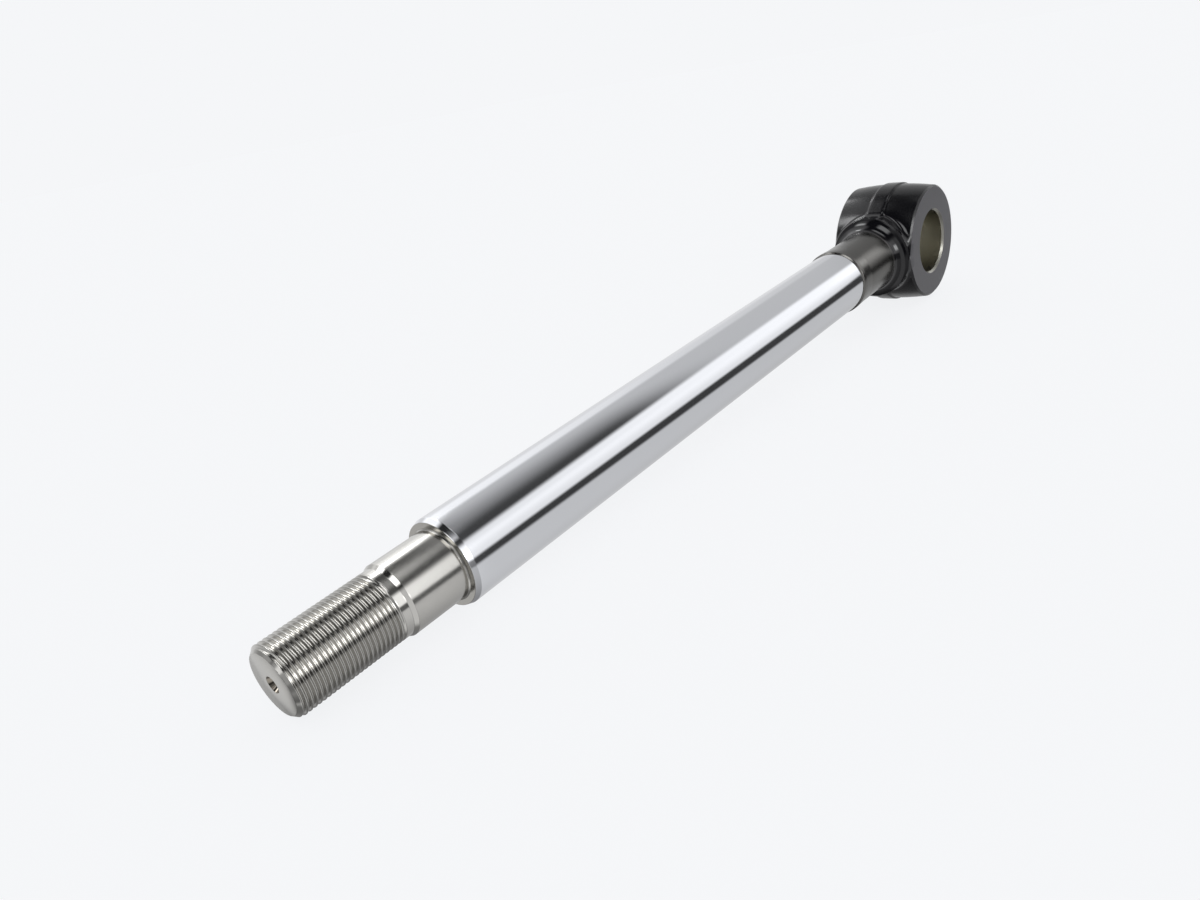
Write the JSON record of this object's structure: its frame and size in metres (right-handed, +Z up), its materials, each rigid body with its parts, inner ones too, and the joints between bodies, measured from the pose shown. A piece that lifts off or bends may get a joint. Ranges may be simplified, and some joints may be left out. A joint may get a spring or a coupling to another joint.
{
  "type": "chrome piston rod",
  "caption": "Chrome-plated piston rod of a hydraulic cylinder, with a black forged eye at one end and a stepped, threaded end for the piston.",
  "frame": {"origin": "middle of the eye's bore", "axes": "+X along the rod to its threaded end, +Y along the bore, +Z up, square to both"},
  "size_m": [0.5619, 0.055, 0.0818],
  "materials": {
    "plated_steel": "mirror-bright hard chrome up to the lead-in chamfer, bare fine-turned steel past it",
    "black_paint": "gloss black paint over a forging, bore left bare"
  },
  "bodies": {
    "root": {"chrome_bar": "plated_steel", "rod_eye": "black_paint"}
  },
  "joints": []
}
